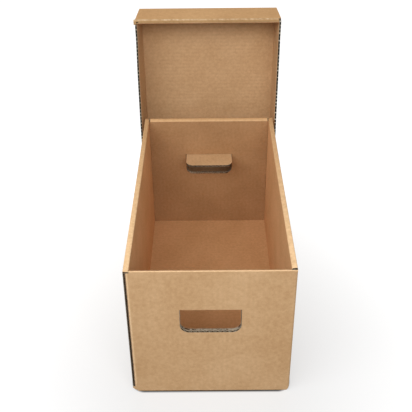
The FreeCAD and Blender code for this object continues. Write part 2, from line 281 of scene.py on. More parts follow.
def add_sheet(bm, low, high, level, columns=4, wave=0.0, sink=0.0, kind=0, row=row_length):
    """Add one paper to a board as a grid between two corners. Return its faces.

    wave makes fluting. sink lets a liner sag a little between the flutes.
    """
    width = high[0] - low[0]
    length = high[1] - low[1]
    middle = ((low[0] + high[0]) / 2, (low[1] + high[1]) / 2, level)
    size = Matrix.Translation(middle) @ Matrix.Diagonal((width, length, 1, 1))
    before = len(bm.faces)
    made = bmesh.ops.create_grid(
        bm, x_segments=max(1, round(width / flute_pitch * columns)),
        y_segments=max(1, round(length / row)), size=0.5, matrix=size)
    flute = bm.verts.layers.float["flute"]
    for vert in made["verts"]:
        swing = math.cos(2 * math.pi * vert.co.x / flute_pitch)
        edge = min(vert.co.x - low[0], high[0] - vert.co.x, vert.co.y - low[1], high[1] - vert.co.y)
        fade = clamp(edge / flat_border)
        vert.co.z += wave * swing + fade * sink * (swing - 1) / 2
        # The flute attribute marks a liner's dips, for the painted shade stripes.
        vert[flute] = 0.0 if wave else fade * (1 - swing) / 2
    bm.faces.ensure_lookup_table()
    faces = [bm.faces[index] for index in range(before, len(bm.faces))]
    for face in faces:
        face.material_index = kind
    return faces


def border(bm, faces, axis, value, span=None):
    """Return a sheet's border edges at a value of x (axis 0) or y (axis 1), within a span."""
    found = []
    chosen = set(faces)
    for edge in bm.edges:
        if edge.is_boundary and edge.link_faces[0] in chosen:
            first, second = (vert.co for vert in edge.verts)
            level = abs(first[axis] - value) < tiny and abs(second[axis] - value) < tiny
            middle = (first[1 - axis] + second[1 - axis]) / 2
            if level and (span is None or span[0] < middle < span[1]):
                found.append(edge)
    return found


print(f"sheets: rows of {row_length / mm:.0f} mm, flat for {flat_border / mm:.0f} mm at the borders")

# %% [markdown]
# ## A fold is a spin
# At a crease the outer liner swings round the inner face's corner. bmesh.ops.spin does just that to a
# border: it carries the edges round an axis in steps and leaves faces behind. The next panel makes the
# other half of the fold, so each turns by 45 degrees. A rolled rim is the same with a smaller radius and a
# full quarter turn.

# %% Folds and rolls
half_fold = 45
quarter_turn = 90
fold_steps = 5
roll_steps = 6
# Folds get a little rubbing. A roll gets a full painted highlight, which stays only on the front wall's
# rolled joint, as the rims and the lid's rolls are marked again later.
fold_wear = 0.08
roll_highlight = 1.0
start_wear_and_light = 0.6


def spin_border(bm, edges, centre, axis, degrees, steps, wear_and_light):
    """Carry a border round an axis and mark the new part paler. Return its last edges."""
    wear_and_light_level = bm.verts.layers.float["crease"]
    before = set(bm.verts)
    verts = sorted({vert for edge in edges for vert in edge.verts}, key=lambda v: tuple(v.co))
    for vert in verts:
        vert[wear_and_light_level] = start_wear_and_light * wear_and_light
    made = bmesh.ops.spin(bm, geom=edges + verts, cent=centre, axis=axis,
                          angle=math.radians(degrees), steps=steps, use_merge=False)
    for vert in bm.verts:
        if vert not in before:
            vert[wear_and_light_level] = wear_and_light
    return [part for part in made["geom_last"] if isinstance(part, bmesh.types.BMEdge)]


def side_of(side, across, along):
    """Return the axis, its value and the turning axis of a panel's side, and the turn's sign."""
    return {"left": (0, 0.0, Y, -1), "right": (0, across, Y, 1),
            "low": (1, 0.0, X, 1), "high": (1, along, X, -1)}[side]


def fold_side(bm, faces, side, across, along, degrees, span=None, square=0.0):
    """Fold the outer liner down at a side, round the inner face's edge.

    square pulls the fold out towards its corner by a share of its radius, as a sharp fold does.
    """
    axis, value, turning, sign = side_of(side, across, along)
    centre = Vector((0, 0, 0))
    centre[axis] = value
    before = set(bm.verts)
    edges = border(bm, faces, axis, value, span)
    spin_border(bm, edges, centre, turning, sign * degrees, fold_steps, fold_wear)
    for vert in set(bm.verts) - before:
        turned = math.degrees(math.atan2(abs(vert.co[axis] - value), vert.co.z))
        pull = 1 + square * (turned / half_fold) ** 2
        vert.co[axis] = value + (vert.co[axis] - value) * pull
        vert.co.z *= pull


def roll_side(bm, faces, side, across, along, radius):
    """Roll the outer liner a quarter turn at a side, then carry it on to the inner face."""
    axis, value, turning, sign = side_of(side, across, along)
    inward = 1 if side in ("left", "low") else -1
    start = value + inward * radius
    centre = Vector((0, 0, board - radius))
    centre[axis] = start
    edges = border(bm, faces, axis, start)
    last = spin_border(bm, edges, centre, turning, sign * quarter_turn, roll_steps, roll_highlight)
    made = bmesh.ops.extrude_edge_only(bm, edges=last)
    verts = [part for part in made["geom"] if isinstance(part, bmesh.types.BMVert)]
    bmesh.ops.translate(bm, verts=verts, vec=(0, 0, radius - board))


print(f"folds: {fold_steps} steps of {half_fold / fold_steps:.0f} degrees, rolls: {roll_steps} steps")

# %% [markdown]
# ## A whole board
# One function builds the three papers of a panel. folds and rolls name the sides where the outer liner
# goes on round a crease. Every other side is a raw cut, where the fluting shows. The fluting stops before
# a rolled side, because the roll has crushed it there.

# %% Build a board
dip = 0.06 * mm
rim_radius = 1.3 * mm
crisp_fold = 0.25
wave_columns = 10


def build_board(across, along, folds=(), rolls=(), spans=None, radius=rim_radius, crisp=(),
                row=row_length):
    """Return a flat panel of three papers. folds, rolls and crisp are names of its sides.

    A fold turns by half a fold, unless folds gives the side its own angle. spans limits a fold to a part
    of its side, and crisp pulls it out towards its corner.
    """
    bm = bmesh.new()
    bm.verts.layers.float.new("crease")
    bm.verts.layers.float.new("flute")
    spans = spans or {}
    starts = {side: radius if side in rolls else 0.0 for side in ("left", "right", "low", "high")}
    low = (starts["left"], starts["low"])
    high = (across - starts["right"], along - starts["high"])
    outer = add_sheet(bm, low, high, board - paper / 2, sink=dip, kind=0, row=row)
    for side in rolls:
        roll_side(bm, outer, side, across, along, radius)
    for side in folds:
        degrees = folds[side] if isinstance(folds, dict) else half_fold
        square = crisp_fold if side in crisp else 0.0
        fold_side(bm, outer, side, across, along, degrees, spans.get(side), square)
    add_sheet(bm, (0, 0), (across, along), paper / 2, sink=-dip, kind=1)
    add_sheet(bm, low, high, board / 2, columns=wave_columns, wave=flute_swing, kind=2)
    return bm


sample = build_board(flute_pitch, row_length)
print("one flute's length of board:", len(sample.faces), "faces in three papers")
sample.free()

# %% [markdown]
# ## Cutting board
# bisect_plane is a straight knife. It can cut clean through and throw one side away, or only score a
# line. A notch is four scored lines with the faces between them deleted. A board's papers are told apart
# by their material index: 0 is the outer liner, 1 the inner liner and 2 the fluting.

# %% Knives
all_papers = (0, 1, 2)


def knife(bm, faces, point, normal, drop=False):
    """Cut some faces along a plane. drop throws away the part on the normal's side."""
    bm.edges.index_update()
    bm.verts.index_update()
    edges = sorted({edge for face in faces for edge in face.edges}, key=lambda e: e.index)
    verts = sorted({vert for face in faces for vert in face.verts}, key=lambda v: v.index)
    bmesh.ops.bisect_plane(bm, geom=faces + edges + verts, dist=tiny, plane_co=point,
                           plane_no=normal, clear_outer=drop)


def score(bm, point, normal, kinds=all_papers):
    """Cut a straight line across some papers and keep both sides."""
    knife(bm, [face for face in bm.faces if face.material_index in kinds], point, normal)


def trim(bm, point, normal):
    """Cut a board through and throw away the part on the normal's side."""
    knife(bm, [face for face in bm.faces if face.material_index in all_papers], point, normal, drop=True)


def in_box(point, low, high):
    """Tell whether a point lies between two corners of the flat board."""
    return low[0] < point.x < high[0] and low[1] < point.y < high[1]


def notch(bm, low, high, kinds=all_papers):
    """Cut a rectangular bite between two corners out of some papers."""
    for point, normal in ((low, X), (high, X), (low, Y), (high, Y)):
        score(bm, (*point, 0), normal, kinds)
    doomed = [face for face in bm.faces if face.material_index in kinds
              and in_box(face.calc_center_median(), low, high)]
    bmesh.ops.delete(bm, geom=doomed, context="FACES")


sample = build_board(flute_pitch, row_length)
trim(sample, (0, row_length / 2, 0), Y)
print(f"a trimmed sample is {max(vert.co.y for vert in sample.verts) / mm:.1f} mm long")
sample.free()

# %% [markdown]
# ## Settling a panel
# No panel of a used box is dead flat. A slow noise pushes each board in by a few tenths of a
# millimetre, most in the middle and not at all along the borders, where the neighbours meet. It only
# pushes inwards, so the box never grows.

# %% Unevenness
stiff_border = 25 * mm
sag_scale = 14
short_sag = 0.25 * mm
wall_sag = 0.3 * mm
long_sag = 0.35 * mm


def settle(bm, across, along, depth, seed):
    """Push the middle of a board inwards by a slow noise."""
    for vert in bm.verts:
        edge = min(vert.co.x, across - vert.co.x, vert.co.y, along - vert.co.y)
        share = clamp(edge / stiff_border)
        wave = noise.noise(Vector((vert.co.x * sag_scale, vert.co.y * sag_scale, seed)))
        vert.co.z -= depth * share * share * (0.5 + 0.5 * wave)


print(f"walls settle by up to {long_sag / mm:.2f} mm")

# %% [markdown]
# ## A place in the frame
# place() gives the matrix that stands a flat board up. Folds and sags must never carry a piece past its
# node, so every point of it is kept inside the node's box, with a little room where the photograph asks
# for it, and always inside the box of the whole part.

# %% Place a board and keep it inside


def place(origin, across, along):
    """Return the matrix that takes board coordinates to a place in the frame."""
    outward = across.cross(along)
    matrix = Matrix((across, along, outward)).transposed().to_4x4()
    return Matrix.Translation(origin) @ matrix


def keep_inside(mesh, node, room):
    """Keep a piece within its node's box, or within the whole part's box where it has room."""
    low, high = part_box(node)
    for axis in range(3):
        least = max(low[axis] - room, cad_low[axis])
        most = min(high[axis] + room, cad_high[axis])
        for vert in mesh.vertices:
            vert.co[axis] = min(max(vert.co[axis], least), most)


print(f"the box reaches {cad_high.z / mm:.0f} mm up and {(cad_high.y - cad_low.y) / mm:.0f} mm back")

# %% [markdown]
# ## The dark hollow
# Little light gets between the papers, so the liners' hollow sides are given the fluting's dark tone. The
# outer liner's hollow side faces inwards, and the inner liner's outwards, as hollow_side says. Which way is
# outwards is measured on the board itself.

# %% Darken the hollow
hollow_side = {0: -1, 1: 1}


def outward_of(bm):
    """Return the direction from a board's inner liner to its outer liner."""
    sums = [Vector(), Vector()]
    areas = [0.0, 0.0]
    facing = Vector()
    for face in bm.faces:
        kind = face.material_index
        if kind < 2:
            areas[kind] += face.calc_area()
            sums[kind] += face.calc_center_median() * face.calc_area()
        if kind == 0:
            facing += face.normal * face.calc_area()
    facing.normalize()
    return facing if facing.dot(sums[0] / areas[0] - sums[1] / areas[1]) > 0 else -facing


def darken_hollow(mesh, outward):
    """Give the sides of both liners that face the fluting the fluting's dark tone."""
    for polygon in mesh.polygons:
        side = hollow_side.get(polygon.material_index, 0)
        if side * polygon.normal.dot(outward) > 0.5:
            polygon.material_index = 2


sample = build_board(flute_pitch, row_length)
print("a flat board faces", [round(part) for part in outward_of(sample)])
sample.free()

# %% [markdown]
# ## The sprung rear end
# The rolled walls have sprung up by a few millimetres at the tray's rear. A soft ramp lifts the top there
# and leaves the foot and the front where they are.

# %% Lift the rear end
spring = 3.0 * mm
spring_from = Vector((0, 30 * mm, 155 * mm))


def smooth_step(value):
    """Return 0 below 0 and 1 above 1, with a soft ramp between."""
    value = clamp(value)
    return value * value * (3 - 2 * value)


def spring_up(mesh):
    """Lift the top of the tray's rear end a little, where the rolled walls have sprung up."""
    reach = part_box("left_rim")[1] - spring_from
    for vert in mesh.vertices:
        share = vert.co - spring_from
        vert.co.z += spring * smooth_step(share.y / reach.y) * smooth_step(share.z / reach.z)


print(f"the rear rim is lifted by {spring / mm:.0f} mm")

# %% [markdown]
# ## From board to piece
# The papers are still surfaces without thickness. A Solidify modifier gives them their third of a
# millimetre, and its rim gets the cut edge's material, the last of the list. The result is kept as a plain
# mesh, with sharp edges where the paper turns by more than thirty-five degrees.

# %% Finish a piece
sharp_angle = 35


def finish_piece(bm, name, body, node, papers, room=0.0):
    """Give the papers their thickness and let the piece stand for its node.

    room is how far the piece may reach beyond its node's box.
    """
    bmesh.ops.remove_doubles(bm, verts=bm.verts, dist=tiny)
    bmesh.ops.recalc_face_normals(bm, faces=bm.faces)
    outward = outward_of(bm)
    mesh = bpy.data.meshes.new(name)
    bm.to_mesh(mesh)
    bm.free()
    for material in papers:
        mesh.materials.append(material)
    piece = bpy.data.objects.new(name, mesh)
    bpy.context.scene.collection.objects.link(piece)
    thick = piece.modifiers.new("paper", "SOLIDIFY")
    thick.thickness = paper
    thick.offset = 0
    thick.use_even_offset = True
    thick.material_offset_rim = len(papers) - 1
    depsgraph = bpy.context.evaluated_depsgraph_get()
    solid = bpy.data.meshes.new_from_object(piece.evaluated_get(depsgraph))
    piece.modifiers.clear()
    piece.data = solid
    bpy.data.meshes.remove(mesh)
    solid.name = name
    darken_hollow(solid, outward)
    keep_inside(solid, node, room)
    if body == "tray":
        spring_up(solid)
    solid.set_sharp_from_angle(angle=math.radians(sharp_angle))
    for polygon in solid.polygons:
        polygon.use_smooth = True
    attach(piece, body)
    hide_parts(node)
    return piece


print("sharp from", sharp_angle, "degrees")

# %% [markdown]
# ## Which paper goes where
# Each list starts with the outer liner, the inner liner and the fluting, and ends with the cut edge. The
# rims have the tray's tone as well, for the part of the roll that belongs to the wall below. The lid's long
# flaps have the fuzz and the pressed strip.

# %% Papers of each kind of piece
tray_papers = [kraft_tray, kraft_inside, fluting, cut_edge]
# inner_papers lead with a lit copy of the liner, painted bounce light, pad_papers with a warmer one, painted
# bounce light and shade, and shaded_papers with a darker one, painted shade.
inner_papers = [kraft_bounce_lit, kraft_tray, fluting, cut_edge]
pad_papers = [kraft_pad, kraft_tray, fluting, cut_edge]
shaded_papers = [kraft_shade, kraft_tray, fluting, cut_edge]
rim_papers = [kraft_rim, kraft_inside, fluting, kraft_tray, cut_edge]
roll_papers = [kraft_roll, kraft_inside, fluting, cut_edge]
lid_papers = [kraft_lid, kraft_inside, fluting, cut_edge]
flap_papers = [kraft_lid, kraft_inside, deep_fluting, fuzzy_edge, pressed_edge, flap_edge]
print("papers of a wall:", ", ".join(material.name for material in tray_papers))

# %% [markdown]
# ## Where the creases are
# All places come from the frame's boxes. The tray's fold lines lie one board thickness inside its outer
# faces. The rims sit between the top of the outer walls and the tray's full height. A node's box ends at
# the half of a fold, and a crisp fold reaches a little further, which is the room that it gets.

# %% Tray measures from the frame
front_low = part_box("front_outer_wall")[0]
side_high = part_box("right_outer_wall")[1]
rim_low, rim_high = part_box("left_rim")
foot_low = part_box("front_bottom_flap")[0]
half_width = side_high.x
half_length = -front_low.y
fold_x = half_width - board
fold_y = half_length - board
tray_top = rim_high.z
wall_top = rim_low.z
wall = rim_high.x - rim_low.x
inside_x = half_width - wall
inside_y = half_length - wall
lower_layer = board
upper_layer = 2 * board
corner_cut = foot_low.x + half_width
raw_foot = 10 * mm
fold_room = 0.9 * mm
joint_radius = 2 * mm
print(f"tray {2 * half_width / mm:.0f} x {2 * half_length / mm:.0f} x {tray_top / mm:.0f} mm")

# %% [markdown]
# ## The hand hole
# The hole has a straight top, where its flap is creased, and two round lower corners. Its place comes from
# the flap's node, which lies pushed in and is as long as the hole is high.

# %% Hand hole measures from the frame
flap_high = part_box("front_hand_flap")[1]
knife_gap = 0.3 * mm
hole_side = flap_high.x + knife_gap
hole_top = flap_high.z
hole_bottom = hole_top - (flap_high.y + fold_y + knife_gap)
hole_radius = 12 * mm
print(f"hand hole {2 * hole_side / mm:.0f} x {(hole_top - hole_bottom) / mm:.0f} mm")

# %% [markdown]
# ## Punching the hole
# The straight sides are four scored lines. Each round corner is shaved by a few short cuts, but only inside
# its own corner square, so the rest of the board keeps its clean grid. The punch has torn the outer paper
# off in a narrow band round the hole.

# %% Cut a hand hole
torn = 0.7 * mm
corner_cuts = 6


def hole_measures(floor, grow, lift):
    """Return the hole's half width, lowest and highest line and corner radius on a board."""
    return hole_side + grow, hole_bottom - grow - floor, hole_top + lift - floor, hole_radius + grow


def corner_directions():
    """Return the outward directions of the short cuts that shave a lower right corner."""
    angles = [math.radians(quarter_turn * (cut + 0.5) / corner_cuts) for cut in range(corner_cuts)]
    return [Vector((math.cos(angle), -math.sin(angle), 0)) for angle in angles]


def score_hole(bm, middle, floor, grow=0.0, lift=0.0):
    """Score the hole's outline on all papers of a board. floor is the board's lowest height."""
    side, low, top, radius = hole_measures(floor, grow, lift)
    lines = [((middle + across, 0, 0), X) for across in (-side, radius - side, side - radius, side)]
    lines += [((0, height, 0), Y) for height in (low, low + radius, top)]
    for point, normal in lines:
        score(bm, point, normal)
    for hand in (-1, 1):
        centre = Vector((middle + hand * (side - radius), low + radius, 0))
        far = centre + Vector((hand * radius, -radius, 0))
        corner = ((min(centre.x, far.x), far.y), (max(centre.x, far.x), centre.y))
        for way in corner_directions():
            out = Vector((hand * way.x, way.y, 0))
            square = [face for face in bm.faces if in_box(face.calc_center_median(), *corner)]
            knife(bm, square, centre + out * radius, out)


def in_hole(point, middle, floor, grow=0.0, lift=0.0):
    """Tell whether a point of the flat board lies inside the hole's outline."""
    side, low, top, radius = hole_measures(floor, grow, lift)
    across = abs(point.x - middle)
    inside = across < side and low < point.y < top
    if inside and across > side - radius and point.y < low + radius:
        offset = Vector((across - side + radius, point.y - low - radius, 0))
        inside = all(offset.dot(way) < radius for way in corner_directions())
    return inside


def cut_hand_hole(bm, middle, floor, grow=0.0, lift=0.0, tear=0.0):
    """Cut the hole. Within tear of the outline the outer paper is gone and the others are pale."""
    if tear:
        score_hole(bm, middle, floor, grow + tear, lift)
    score_hole(bm, middle, floor, grow, lift)
    doomed = []
    for face in bm.faces:
        point = face.calc_center_median()
        if in_hole(point, middle, floor, grow, lift):
            doomed.append(face)
        elif tear and in_hole(point, middle, floor, grow + tear, lift):
            if face.material_index == 0:
                doomed.append(face)
            else:
                face.material_index = 3
    bmesh.ops.delete(bm, geom=doomed, context="FACES")


print(f"each corner is shaved by {corner_cuts} cuts")

# %% [markdown]
# ## The hole's crushed edge
# In the inner wall the hole is half a millimetre larger all round, so that no edge of it juts into the
# outer wall's hole. Its cut is a ring of crushed fibres, pale with dark gaps, which are painted shade in
# the fluting's dark tone: a line of points round the hole that is extruded through the board in steps.

# %% Crushed ring
hole_room = 0.5 * mm
fibre_step = 1.3 * mm
ring_recess = 0.25 * mm
ring_levels = (0.1, 0.35, 0.65, 0.9)
ring_bends = 8
ring_scale = 480
ring_pale = -0.08


def add_crushed_ring(bm, middle, floor):
    """Close the cut of a hole with a strip of crushed papers, just behind the edge."""
    side, low, top, radius = hole_measures(floor, hole_room + ring_recess, hole_room)
    path = [Vector((middle + side, top, 0)), Vector((middle + side, low + radius, 0))]
    for step in range(1, ring_bends):
        angle = math.radians(quarter_turn * step / ring_bends)
        path.append(Vector((middle + side - radius + radius * math.cos(angle),
                            low + radius - radius * math.sin(angle), 0)))
    flat = side - radius
    fibres = round(flat / fibre_step)
    path += [Vector((middle + flat * (1 - step / fibres), low, 0)) for step in range(fibres)]
    path += [Vector((2 * middle - point.x, point.y, 0)) for point in reversed(path[1:])]
    path.append(Vector((middle - side, top, 0)))
    verts = [bm.verts.new((point.x, point.y, ring_levels[0] * board)) for point in path]
    edges = [bm.edges.new(pair) for pair in zip(verts, verts[1:])]
    for below, above in zip(ring_levels, ring_levels[1:]):
        made = bmesh.ops.extrude_edge_only(bm, edges=edges)["geom"]
        verts = [part for part in made if isinstance(part, bmesh.types.BMVert)]
        bmesh.ops.translate(bm, verts=verts, vec=(0, 0, (above - below) * board))
        edges = [part for part in made if isinstance(part, bmesh.types.BMEdge)]
        edges = [edge for edge in edges if edge.verts[0] in verts and edge.verts[1] in verts]
        for face in {edge.link_faces[0] for edge in edges}:
            # Faces that aren't pale take the fluting's dark tone: painted shade in the gaps between the
            # fibres.
            pale = noise.noise(face.calc_center_median() * ring_scale) > ring_pale
            face.material_index = 3 if pale else 2


print(f"the ring has {len(ring_levels) - 1} rows of fibres, {fibre_step / mm:.1f} mm wide")

# %% [markdown]
# ## The front wall
# The front wall folds round to the right wall and down to the bottom. On the left its liner turns in
# with a small round and runs behind the left wall's raw edge, where it is glued. Only at the very
# bottom does it cover that raw edge, with a small cut-off corner.

# %% Front outer wall


def make_front_outer_wall():
    """The front panel of the tray."""
    across = 2 * fold_x
    along = wall_top - lower_layer
    turn = corner_cut - board
    # The rolled joint on the left carries a painted highlight along its rounded edge.
    bm = build_board(across, along, folds=("right", "low"), rolls=("left",),
                     spans={"low": (turn, across)}, radius=joint_radius, crisp=("low",))
    notch(bm, (-tiny, -board), (joint_radius, raw_foot - lower_layer))
    corner = build_board(board + joint_radius, raw_foot - lower_layer)
    slope = Vector((-1, -1, 0))
    trim(corner, (0, corner_cut - lower_layer, 0), slope)
    bmesh.ops.translate(corner, verts=corner.verts, vec=(-board, 0, 0))
    spare = bpy.data.meshes.new("spare")
    corner.to_mesh(spare)
    corner.free()
    bm.from_mesh(spare)
    bpy.data.meshes.remove(spare)
    settle(bm, across, along, wall_sag, seed=1)
    cut_hand_hole(bm, fold_x, lower_layer, tear=torn)
    bm.transform(place((-fold_x, -fold_y, lower_layer), X, Z))
    return finish_piece(bm, "front_wall", "tray", "front_outer_wall", tray_papers,
                        fold_room)


front_wall = make_front_outer_wall()
print("front wall:", len(front_wall.data.polygons), "faces")

# %% [markdown]
# ## The other outer walls
# The rear wall mirrors the front, without the glued joint. The long walls fold to it. The left wall runs
# on to the front, where its edge is raw above the small corner that covers it.

# %% Rear, right and left outer walls


def hand_of(side):
    """Return the start of a left or right piece's name. side is -1 for left and 1 for right."""
    return "left_" if side < 0 else "right_"


def end_of(side):
    """Return the start of an end piece's name. side is -1 for front and 1 for rear."""
    return "front_" if side < 0 else "rear_"


def make_rear_outer_wall():
    """The rear panel of the tray."""
    across = 2 * fold_x
    along = wall_top - lower_layer
    bm = build_board(across, along, folds=("left", "right", "low"), crisp=("low",))
    settle(bm, across, along, wall_sag, seed=2)
    cut_hand_hole(bm, fold_x, lower_layer, tear=torn)
    bm.transform(place((fold_x, fold_y, lower_layer), -X, Z))
    return finish_piece(bm, "rear_wall", "tray", "rear_outer_wall", tray_papers,
                        fold_room)


def make_side_outer_wall(side):
    """A long panel of the tray. side is -1 for left and 1 for right."""
    raw = side < 0
    name = hand_of(side) + "wall"
    across = 2 * fold_y + (board if raw else 0)
    along = wall_top - upper_layer
    folds = ("left", "low") if raw else ("left", "right", "low")
    bm = build_board(across, along, folds=folds, spans={"low": (0, 2 * fold_y)}, crisp=("low",))
    if raw:
        notch(bm, (2 * fold_y, -board), (across + tiny, raw_foot - upper_layer))
    settle(bm, across, along, long_sag, seed=3 + side)
    origin = (side * fold_x, -side * fold_y, upper_layer)
    bm.transform(place(origin, side * Y, Z))
    node = hand_of(side) + "outer_wall"
    return finish_piece(bm, name, "tray", node, tray_papers, fold_room)


outer_walls = [make_rear_outer_wall(), make_side_outer_wall(-1), make_side_outer_wall(1)]
print("outer walls:", [piece.name for piece in outer_walls])

# %% [markdown]
# ## The inner walls
# The sheet goes over the rim and down inside, so the paper that shows inside the tray is the same
# outer liner. The short inner walls have the hand hole too. The front wall's top has been pressed down on
# the inside, so the front inner wall ends a little lower.

# %% Inner walls
front_sag = 2.6 * mm


def make_end_inner_wall(side):
    """The inner layer of a short wall. side is -1 for front and 1 for rear."""
    name = end_of(side) + "inner_wall"
    low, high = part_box(name)
    across = high.x - low.x
    along = high.z - low.z - (front_sag if side < 0 else 0)
    bm = build_board(across, along)
    settle(bm, across, along, short_sag, seed=7 + side)
    cut_hand_hole(bm, across / 2, low.z, grow=hole_room, lift=hole_room)
    add_crushed_ring(bm, across / 2, low.z)
    origin = (side * low.x, side * (inside_y + board), low.z)
    bm.transform(place(origin, side * X, Z))
    return finish_piece(bm, name + "_board", "tray", name, shaded_papers)


def make_side_inner_wall(side):
    """The inner layer of a long wall. side is -1 for left and 1 for right."""
    name = hand_of(side) + "inner_wall"
    low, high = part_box(name)
    across = high.y - low.y
    along = high.z - low.z
    bm = build_board(across, along)
    settle(bm, across, along, wall_sag, seed=11 + side)
    origin = (side * (inside_x + board), side * high.y, low.z)
    bm.transform(place(origin, -side * Y, Z))
    return finish_piece(bm, name + "_board", "tray", name, inner_papers)


inner_walls = [make(side) for make in (make_end_inner_wall, make_side_inner_wall) for side in (-1, 1)]
print("inner walls:", [piece.name for piece in inner_walls])

# %% [markdown]
# ## The rolled rims
# A rim is the narrow strip between the two creases of a rolled wall. Its flutes run across it, so they
# press through the stretched paper as a row of faint bumps. The roll has crushed its inner half, most on
# the short walls. The rims are marked paler towards the front of the box, partly by rubbing and partly
# as painted light, a painted sheen that fades towards the rear, and the rear rim gets a painted highlight
# along its inner edge. Both are worked out point by point from the place along and across the strip.

# %% Crush a rim
rim_bump = 0.05
rim_waver = 0.06
waver_across = 90
waver_along = 45
crush_curve = 1.6
wall_tone = 0.35 * rim_radius
outer_edge = 0.3 * rim_radius
highlight_from = 0.55
highlight_ramp = 0.3


def crush(bm, drop, inner_first, wear_and_light, seed, inner_highlight=0.0):
    """Press a rim's board down towards its inner edge, by shares of its thickness, and mark it paler.

    The fourth argument gives the pale mark at the two ends of the strip, partly rubbing and partly painted
    light, and the last one a painted highlight along the inner edge. The outer edge of the roll belongs to
    the wall below it and keeps that wall's tone.
    """
    length = max(vert.co.x for vert in bm.verts)
    wear_and_light_level = bm.verts.layers.float["crease"]
    for face in bm.faces:
        point = face.calc_center_median()
        outside = wall - point.y if inner_first else point.y
        if face.material_index == 0 and outside < wall_tone:
            face.material_index = 3
    for vert in bm.verts:
        share = vert.co.y / wall
        share = clamp(1 - share if inner_first else share)
        low_down = clamp((board - vert.co.z) / rim_radius) if share * wall < outer_edge else 0
        # The pale mark runs between the strip's two ends, partly rubbing and partly painted sheen, and the
        # inner edge gets a painted highlight.
        wear_and_light_share = 1 - (1 - vert.co.x / length) ** crush_curve
        wear_and_light_share = wear_and_light[0] + (wear_and_light[1] - wear_and_light[0]) * wear_and_light_share
        vert[wear_and_light_level] = max(wear_and_light_share * (1 - low_down), inner_highlight * smooth_step((share - highlight_from) / highlight_ramp))
        ripple = (1 - math.cos(2 * math.pi * vert.co.x / flute_pitch)) / 2
        slow = noise.noise(Vector((vert.co.x * waver_along, vert.co.y * waver_across, seed)))
        pressed_by = drop * share ** crush_curve + rim_bump * ripple + rim_waver * (0.5 + 0.5 * slow)
        vert.co.z *= 1 - pressed_by


print(f"the flutes lift a rim by {rim_bump * board / mm:.2f} mm")

# %% [markdown]
# ## The four rims
# The rims meet at the corners in the order in which the box was folded: a thin tongue of each short wall's
# rim passes beside a long wall's rim, and a dark slit stays open between them. The front rim also sags
# along its inner edge. At a raw end one looks straight into the hollow between the papers.

# %% Rims of the tray
end_drop = 0.74
side_drop = 0.3
# The pale mark on the rims is weak at the rear, where the painted sheen fades, with a painted highlight
# along the rear rim's inner edge.
rear_wear_and_light = 0.1
rear_crease_highlight = 0.45
sag_curve = 1.2
slit = 2.7 * mm
tongue = 1.6 * mm
front_gap = 0.5 * mm
rear_gap = 1.6 * mm


def make_side_rim(side):
    """The rim of a long wall of the tray."""
    name = hand_of(side) + "rim"
    low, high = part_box(name)
    length = high.y - low.y
    bm = build_board(length, wall, rolls=("low", "high"))
    # Paler towards the front: partly rubbing, partly a painted sheen.
    crush(bm, side_drop, inner_first=side > 0, wear_and_light=(rear_wear_and_light, 1.0), seed=20 + side)
    if side > 0:
        trim(bm, (length - slit, 0, 0), X)
    bm.transform(place((low.x, high.y, low.z), -Y, X))
    return finish_piece(bm, name + "_roll", "tray", name, rim_papers)


def make_end_rim(side):
    """The rim of a short wall. A thin tongue of it passes in front of a folded corner's side rim."""
    name = end_of(side) + "rim"
    low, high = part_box(name)
    length = high.x - low.x
    bm = build_board(length, wall, rolls=("low", "high"))
    if side < 0:
        # The front rim is pale all along: partly rubbing, partly a painted highlight.
        crush(bm, end_drop, inner_first=False, wear_and_light=(1.0, 1.0), seed=30 + side)
        for vert in bm.verts:
            vert.co.z -= front_sag * clamp(vert.co.y / wall) ** sag_curve
    else:
        # The rear rim gets a painted highlight along its inner edge.
        crush(bm, end_drop, inner_first=True, wear_and_light=(rear_wear_and_light, rear_wear_and_light), seed=30 + side,
              inner_highlight=rear_crease_highlight)
    gap = front_gap if side < 0 else rear_gap
    for end in ([1] if side < 0 else [-1, 1]):
        edge = end * (inside_x - gap) - low.x
        outside = length + board if end > 0 else -board
        near = tongue if side < 0 else -board
        far = wall + board if side < 0 else wall - tongue
        notch(bm, (min(edge, outside), near), (max(edge, outside), far))
    bm.transform(place((low.x, low.y, low.z), X, Y))
    room = front_sag if side < 0 else 0.0
    return finish_piece(bm, name + "_roll", "tray", name, rim_papers, room)


rims = [make(side) for make in (make_side_rim, make_end_rim) for side in (-1, 1)]
print("rims:", [piece.name for piece in rims])

# %% [markdown]
# ## The bottom
# Four flaps fold in under the tray in two layers, the short walls' flaps below. A loose pad covers them
# inside, so the floor of the tray has no seams.

# %% Bottom flaps and pad


def make_end_bottom_flap(side):
    """The flap that folds in from a short wall."""
    name = end_of(side) + "bottom_flap"
    low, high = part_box(name)
    across = high.x - low.x
    along = high.y + fold_y if side < 0 else fold_y - low.y
    bm = build_board(across, along, folds=("low",), crisp=("low",))
    origin = (high.x if side < 0 else low.x, side * fold_y, high.z)
    bm.transform(place(origin, side * X, -side * Y))
    return finish_piece(bm, name + "_board", "tray", name, tray_papers, fold_room)


def make_side_bottom_flap(side):
    """The flap that folds in from a long wall."""
    name = hand_of(side) + "bottom_flap"
    low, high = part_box(name)
    across = high.y - low.y
    along = high.x + fold_x if side < 0 else fold_x - low.x
    bm = build_board(across, along, folds=("low",), crisp=("low",))
    origin = (side * fold_x, high.y if side > 0 else low.y, high.z)
    bm.transform(place(origin, -side * Y, -side * X))
    return finish_piece(bm, name + "_board", "tray", name, tray_papers, fold_room)


def make_base_pad():
    """The loose pad on the floor of the tray."""
    across = pad_high.y - pad_low.y
    along = pad_high.x - pad_low.x
    bm = build_board(across, along)
    settle(bm, across, along, wall_sag, seed=40)
    bm.transform(place((pad_low.x, pad_high.y, pad_low.z), -Y, X))
    return finish_piece(bm, "base_pad_board", "tray", "base_pad", pad_papers)


